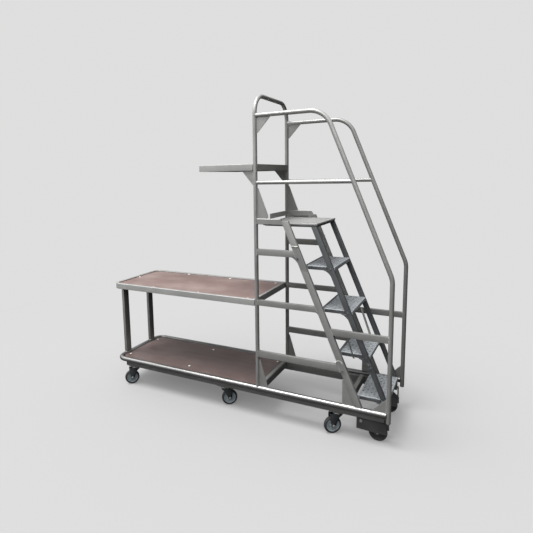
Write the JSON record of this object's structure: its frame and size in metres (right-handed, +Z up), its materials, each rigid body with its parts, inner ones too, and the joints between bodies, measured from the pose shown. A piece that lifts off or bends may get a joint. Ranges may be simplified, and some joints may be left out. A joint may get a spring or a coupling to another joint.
{
  "type": "rolling picking ladder",
  "caption": "Wheeled picking ladder: a narrow trolley with lower and upper plywood decks and, at one end, steps up to a railed standing platform with a shelf.",
  "frame": {"origin": "on the floor, under the centre of the whole object", "axes": "+Z up; +X along the trolley, towards the foot of the ladder; +Y across it"},
  "size_m": [2.34, 0.64, 2.377],
  "materials": {
    "frame_paint": "semi-gloss grey paint",
    "ladder_steel": "darker satin grey paint",
    "tread_steel": "galvanised, with punched round holes on the treads",
    "plywood": "brown phenolic film on plywood, worn satin",
    "castor_steel": "zinc plated, dulled",
    "wheel_rubber": "matt black tyre",
    "housing_black": "satin black paint",
    "pedal_plastic": "matt black",
    "zinc_plate": "bright zinc"
  },
  "bodies": {
    "frame": {"bumper_tube": "frame_paint", "base_rail_near": "frame_paint", "base_rail_far": "frame_paint", "base_rail_end": "frame_paint", "base_rail_middle": "frame_paint", "base_rail_front": "frame_paint", "lower_deck": "plywood", "upper_deck_frame": "frame_paint", "upper_deck": "plywood", "leg_near": "frame_paint", "leg_far": "frame_paint", "hoop": "frame_paint", "handrail_near": "frame_paint", "handrail_far": "frame_paint", "knee_rail_near": "frame_paint", "knee_rail_far": "frame_paint", "top_shelf": "frame_paint", "side_brace_near": "frame_paint", "side_brace_far": "frame_paint", "platform_rail_near": "frame_paint", "platform_rail_far": "frame_paint", "upper_rail_near": "frame_paint", "upper_rail_far": "frame_paint", "mid_rail_near": "frame_paint", "mid_rail_far": "frame_paint", "lower_rail_near": "frame_paint", "lower_rail_far": "frame_paint", "front_rail_near": "frame_paint", "front_rail_far": "frame_paint", "platform": "tread_steel", "toe_board": "ladder_steel", "ladder_stringer_near": "ladder_steel", "ladder_stringer_far": "ladder_steel", "ladder_foot_near": "ladder_steel", "ladder_foot_far": "ladder_steel", "tread_1": "tread_steel", "tread_2": "tread_steel", "tread_3": "tread_steel", "tread_4": "tread_steel", "tie_rod": "zinc_plate", "spring_housing_near": "housing_black", "spring_housing_far": "housing_black"},
    "castor_rear_near": {"castor_fork_rear_near": "castor_steel"},
    "wheel_rear_near": {"castor_wheel_rear_near": "wheel_rubber"},
    "castor_middle_near": {"castor_fork_middle_near": "castor_steel"},
    "wheel_middle_near": {"castor_wheel_middle_near": "wheel_rubber"},
    "pedal_middle_near": {"brake_pedal_middle_near": "pedal_plastic"},
    "castor_front_near": {"castor_fork_front_near": "castor_steel"},
    "wheel_front_near": {"castor_wheel_front_near": "wheel_rubber"},
    "castor_rear_far": {"castor_fork_rear_far": "castor_steel"},
    "wheel_rear_far": {"castor_wheel_rear_far": "wheel_rubber"},
    "castor_middle_far": {"castor_fork_middle_far": "castor_steel"},
    "wheel_middle_far": {"castor_wheel_middle_far": "wheel_rubber"},
    "pedal_middle_far": {"brake_pedal_middle_far": "pedal_plastic"},
    "castor_front_far": {"castor_fork_front_far": "castor_steel"},
    "wheel_front_far": {"castor_wheel_front_far": "wheel_rubber"},
    "arm_near": {"spring_arm_near": "castor_steel"},
    "sprung_wheel_near": {"spring_wheel_near": "wheel_rubber"},
    "arm_far": {"spring_arm_far": "castor_steel"},
    "sprung_wheel_far": {"spring_wheel_far": "wheel_rubber"}
  },
  "joints": [
    {"name": "swivel_rear_near", "type": "hinge", "parent": "frame", "child": "castor_rear_near", "pos_m": [-1.01, -0.237, 0.16], "axis": [0, 0, 1], "continuous": true},
    {"name": "spin_rear_near", "type": "hinge", "parent": "castor_rear_near", "child": "wheel_rear_near", "pos_m": [-1.03546, -0.26246, 0.0625], "axis": [0.7071, -0.7071, 0], "continuous": true},
    {"name": "swivel_middle_near", "type": "hinge", "parent": "frame", "child": "castor_middle_near", "pos_m": [-0.103, -0.237, 0.16], "axis": [0, 0, 1], "continuous": true},
    {"name": "spin_middle_near", "type": "hinge", "parent": "castor_middle_near", "child": "wheel_middle_near", "pos_m": [-0.07463, -0.21484, 0.0625], "axis": [-0.6157, 0.788, 0], "continuous": true},
    {"name": "brake_middle_near", "type": "hinge", "parent": "castor_middle_near", "child": "pedal_middle_near", "pos_m": [-0.06202, -0.20499, 0.137], "axis": [-0.6157, 0.788, 0], "range_deg": [0, 12]},
    {"name": "swivel_front_near", "type": "hinge", "parent": "frame", "child": "castor_front_near", "pos_m": [0.803, -0.237, 0.16], "axis": [0, 0, 1], "continuous": true},
    {"name": "spin_front_near", "type": "hinge", "parent": "castor_front_near", "child": "wheel_front_near", "pos_m": [0.77388, -0.25816, 0.0625], "axis": [0.5878, -0.809, 0], "continuous": true},
    {"name": "swivel_rear_far", "type": "hinge", "parent": "frame", "child": "castor_rear_far", "pos_m": [-1.01, 0.237, 0.16], "axis": [0, 0, 1], "continuous": true},
    {"name": "spin_rear_far", "type": "hinge", "parent": "castor_rear_far", "child": "wheel_rear_far", "pos_m": [-1.04118, 0.255, 0.0625], "axis": [-0.5, -0.866, 0], "continuous": true},
    {"name": "swivel_middle_far", "type": "hinge", "parent": "frame", "child": "castor_middle_far", "pos_m": [-0.103, 0.237, 0.16], "axis": [0, 0, 1], "continuous": true},
    {"name": "spin_middle_far", "type": "hinge", "parent": "castor_middle_far", "child": "wheel_middle_far", "pos_m": [-0.07182, 0.219, 0.0625], "axis": [0.5, 0.866, 0], "continuous": true},
    {"name": "brake_middle_far", "type": "hinge", "parent": "castor_middle_far", "child": "pedal_middle_far", "pos_m": [-0.05797, 0.211, 0.137], "axis": [0.5, 0.866, 0], "range_deg": [0, 12]},
    {"name": "swivel_front_far", "type": "hinge", "parent": "frame", "child": "castor_front_far", "pos_m": [0.803, 0.237, 0.16], "axis": [0, 0, 1], "continuous": true},
    {"name": "spin_front_far", "type": "hinge", "parent": "castor_front_far", "child": "wheel_front_far", "pos_m": [0.76823, 0.24632, 0.0625], "axis": [-0.2588, -0.9659, 0], "continuous": true},
    {"name": "arm_spring_near", "type": "hinge", "parent": "frame", "child": "arm_near", "pos_m": [0.968, -0.214, 0.132], "axis": [0, 1, 0], "range_deg": [-6, 4], "stiffness_Nm_per_rad": 40, "springref_deg": 9.74},
    {"name": "spin_sprung_near", "type": "hinge", "parent": "arm_near", "child": "sprung_wheel_near", "pos_m": [1.077, -0.214, 0.0625], "axis": [0, 1, 0], "continuous": true},
    {"name": "arm_spring_far", "type": "hinge", "parent": "frame", "child": "arm_far", "pos_m": [0.968, 0.214, 0.132], "axis": [0, 1, 0], "range_deg": [-6, 4], "stiffness_Nm_per_rad": 40, "springref_deg": 9.74},
    {"name": "spin_sprung_far", "type": "hinge", "parent": "arm_far", "child": "sprung_wheel_far", "pos_m": [1.077, 0.214, 0.0625], "axis": [0, 1, 0], "continuous": true}
  ]
}
